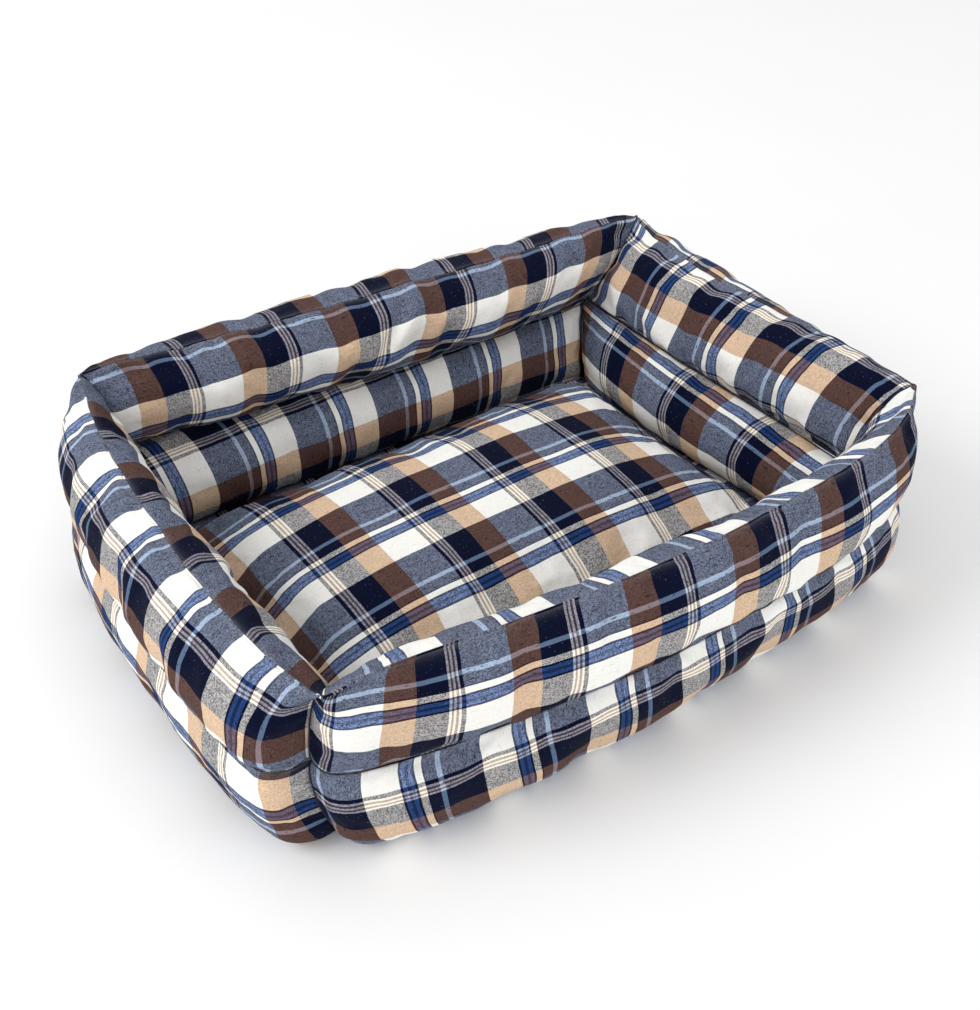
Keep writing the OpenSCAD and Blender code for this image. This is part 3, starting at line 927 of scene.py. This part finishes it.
# The wadding's underside, its rounded edge and its top
low, high = GROUND + 0.4 * MM, FLOOR_EDGE
profile = [(share, low) for share in np.linspace(0, 0.96, 12)]
profile += [(0.985, low + 1.5 * MM), (0.99, (low + high) / 2), (0.985, high - 1.5 * MM)]
profile += [(share, high) for share in np.linspace(0.96, 0, 12)]
grid, flat = disc(inner_foot, profile)
grid[..., 2] += small_lumps(grid) * 0.25 * MM
wadding = grid_object("floor_wadding", grid, {}, -1)
weld(wadding)
piece(wadding, "bed", "base_wadding", "fibre_filling")

grid, flat = disc(inner_foot, [(share, FLOOR_TOP) for share in shares])
grid[..., 2] -= (0.3 + 0.3 * fill_lumps(grid)) * MM
plaid = flat / LAID_PLAID + np.array([0.2, 0.4])
floor_sheet = grid_object("floor_sheet", grid, plain_uvs(plaid), -1)
weld(floor_sheet)
finish_cloth(floor_sheet, CLOTH, levels=0)
piece(floor_sheet, "bed", "floor_cloth", "plaid_cotton")

# ---- Loose cushion ----
# Its plan, in millimetres along x and y: its middle, half its size, and how far its edges pull in
CUSHION_MIDDLE = (-29.5, -1)
CUSHION_HALF = (201.5, 123)
CUSHION_PULL = (9, 7)
edge_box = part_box("cushion_edge_seam")
EDGE_Z = (edge_box[0].z + edge_box[1].z) / 2
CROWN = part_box("cushion_top_panel")[1].z - EDGE_Z
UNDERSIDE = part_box("cushion_bottom_panel")[0].z - EDGE_Z
# Where the frame's middle lies in the cushion's plaid, in repeats
CUSHION_PLAID = np.array([2.18, 1.535])


def cushion_plan(u, v):
    """The cushion's plan: u and v run from -1 to 1 along it and across it."""
    x = CUSHION_MIDDLE[0] + (CUSHION_HALF[0] - CUSHION_PULL[0] * (1 - v ** 2)) * u
    y = CUSHION_MIDDLE[1] + (CUSHION_HALF[1] - CUSHION_PULL[1] * (1 - u ** 2)) * v
    rounding = 1 - 0.055 * (np.abs(u) * np.abs(v)) ** 6
    return x * rounding * MM, y * rounding * MM


def cushion_grid(u, v, height, power, shoulder):
    """A dome over the cushion's plan: power flattens its top, and shoulder steepens its edge when low."""
    u, v = np.meshgrid(u, v, indexing="ij")
    x, y = cushion_plan(u, v)
    dome = np.clip((1 - np.abs(u) ** power) * (1 - np.abs(v) ** power), 0, 1) ** shoulder
    return np.stack([x, y, EDGE_Z + height * dome], -1)


def rim(grid):
    """The edge of a grid, once round."""
    return np.concatenate([grid[:-1, 0], grid[-1, :-1], grid[:0:-1, -1], grid[0, :0:-1]])


columns, rows = 81, 57
u, v = stations(columns, 0.86), stations(rows, 0.86)
cushion_cloth = {}
for name, height, power, outward in (("top", CROWN - 2 * MM, 2.6, 1), ("bottom", UNDERSIDE, 5, -1)):
    grid = cushion_grid(u, v, height, power, 0.5)
    plaid = grid[..., :2] / LAID_PLAID + CUSHION_PLAID
    plaid += 0.9 * MM / REPEAT_B * np.stack([small_lumps(grid / 4), small_lumps(grid / 4 + 1)], -1)
    along, across = lengths(grid, 0), lengths(grid, 1)
    if name == "top":
        free = 1 - np.exp(-np.minimum(*seam_distances(along, across)) / (12 * MM))
        grid = grid + normals(grid, 1) * (fill_lumps(grid) * 1.6 * MM * free)[..., None]
    obj = grid_object(f"cushion_{name}_cloth", grid, cloth_uvs(plaid, along, across), outward)
    if name == "top":
        simulate(obj, border(columns, rows), slack=0.02, pressure=0.6, cap=4 * MM)
    cushion_cloth[name] = (obj, along, across)

run_simulations()

for name, (obj, along, across) in cushion_cloth.items():
    if name == "top":
        grid = coordinates(obj).reshape(columns, rows, 3)
        from_edges, from_ends = seam_distances(along, across)
        folds = puckers(along, from_edges, 34 * MM, 2.2 * MM, 22 * MM)
        folds += puckers(across, from_ends, 34 * MM, 2.2 * MM, 22 * MM)
        free = 1 - np.exp(-np.minimum(from_edges, from_ends) / (4 * MM))
        grid = grid + normals(grid, 1) * (folds * free)[..., None]
        set_coordinates(obj, grid.reshape(-1, 3))
    finish_cloth(obj, CLOTH)
    piece(obj, "cushion", f"cushion_{name}_panel", "plaid_cotton")

# The filling lies a little inside the cloth, and its two halves are joined at the edge
edge = cushion_grid(u, v, 0, 2, 1)
centre = edge[columns // 2, rows // 2]
shrink = np.array([0.965, 0.955, 1])
halves = []
for name, height, power, outward in (("cushion_padding", CROWN - 6 * MM, 2.6, 1),
                                     ("cushion_padding_under", UNDERSIDE + 4 * MM, 5, -1)):
    grid = centre + (cushion_grid(u, v, height, power, 0.6) - centre) * shrink
    halves.append(grid_object(name, grid, {}, outward))
joined = bmesh.new()
for obj in halves:
    joined.from_mesh(obj.data)
bmesh.ops.remove_doubles(joined, verts=joined.verts, dist=0.1 * MM)
padding, under_half = halves
joined.to_mesh(padding.data)
joined.free()
bpy.data.objects.remove(under_half)
padding.data.shade_smooth()
piece(padding, "cushion", "cushion_fill", "fibre_filling")

grid, tube = sweep(rim(edge), 1.1 * MM, closed=True)
edging = grid_object("cushion_edge_stitching", grid, {"tape": tube}, -1)
piece(edging, "cushion", "cushion_edge_seam", "seam_edge")


# ---- Camera, light and floor ----
def look(position, yaw, pitch, roll, lens):
    """Sets the camera, in radians: yaw turns from +Y to +X, pitch looks down, roll turns the picture."""
    ahead = Vector((math.sin(yaw) * math.cos(pitch), math.cos(yaw) * math.cos(pitch), -math.sin(pitch)))
    right = Vector((math.cos(yaw), -math.sin(yaw), 0))
    up = right.cross(ahead)
    right, up = math.cos(roll) * right + math.sin(roll) * up, math.cos(roll) * up - math.sin(roll) * right
    data = bpy.data.cameras.new("camera")
    data.lens = lens
    camera = bpy.data.objects.new("camera", data)
    camera.matrix_world = Matrix((right, up, -ahead)).transposed().to_4x4()
    camera.location = position
    link(camera)
    bpy.context.scene.camera = camera


look((-0.5095, -0.6543, 0.7089), yaw=0.6450, pitch=0.6734, roll=0.0275, lens=46.6)


def area_light(name, position, size, power):
    """A round white light at a position, turned to the bed."""
    data = bpy.data.lights.new(name, "AREA")
    data.shape = "DISK"
    data.size = size
    data.energy = power
    light = bpy.data.objects.new(name, data)
    light.location = position
    light.rotation_euler = (Vector((0, 0, 0.05)) - Vector(position)).to_track_quat("-Z", "Y").to_euler()
    link(light)


area_light("key", (-2.9, 0.9, 2.5), size=2.2, power=65)
area_light("fill", (-0.4, -3.4, 1.0), size=2.4, power=20)
world = bpy.data.worlds.new("studio")
bpy.context.scene.world = world
world.use_nodes = True
background = world.node_tree.nodes["Background"]
background.inputs["Color"].default_value = (1, 1, 1, 1)
background.inputs["Strength"].default_value = 0.85

floor_mesh = bpy.data.meshes.new("floor")
reach = 6.0
floor_corners = [(-reach, -reach, 0), (reach, -reach, 0), (reach, reach, 0), (-reach, reach, 0)]
floor_mesh.from_pydata(floor_corners, [], [(0, 1, 2, 3)])
floor = bpy.data.objects.new("floor", floor_mesh)
floor.location.z = -0.5 * MM
link(floor)
floor_nodes = Nodes("floor")
grain = floor_nodes.noise(floor_nodes.add("TexCoord").outputs["Object"], 3.0, 2)
floor_nodes.surface(floor_nodes.mix(grain, srgb(246, 246, 246), srgb(250, 250, 250)), 0.9, 0.0, sheen=0)
floor_mesh.materials.append(floor_nodes.material)

bpy.context.scene.view_settings.view_transform = "Standard"
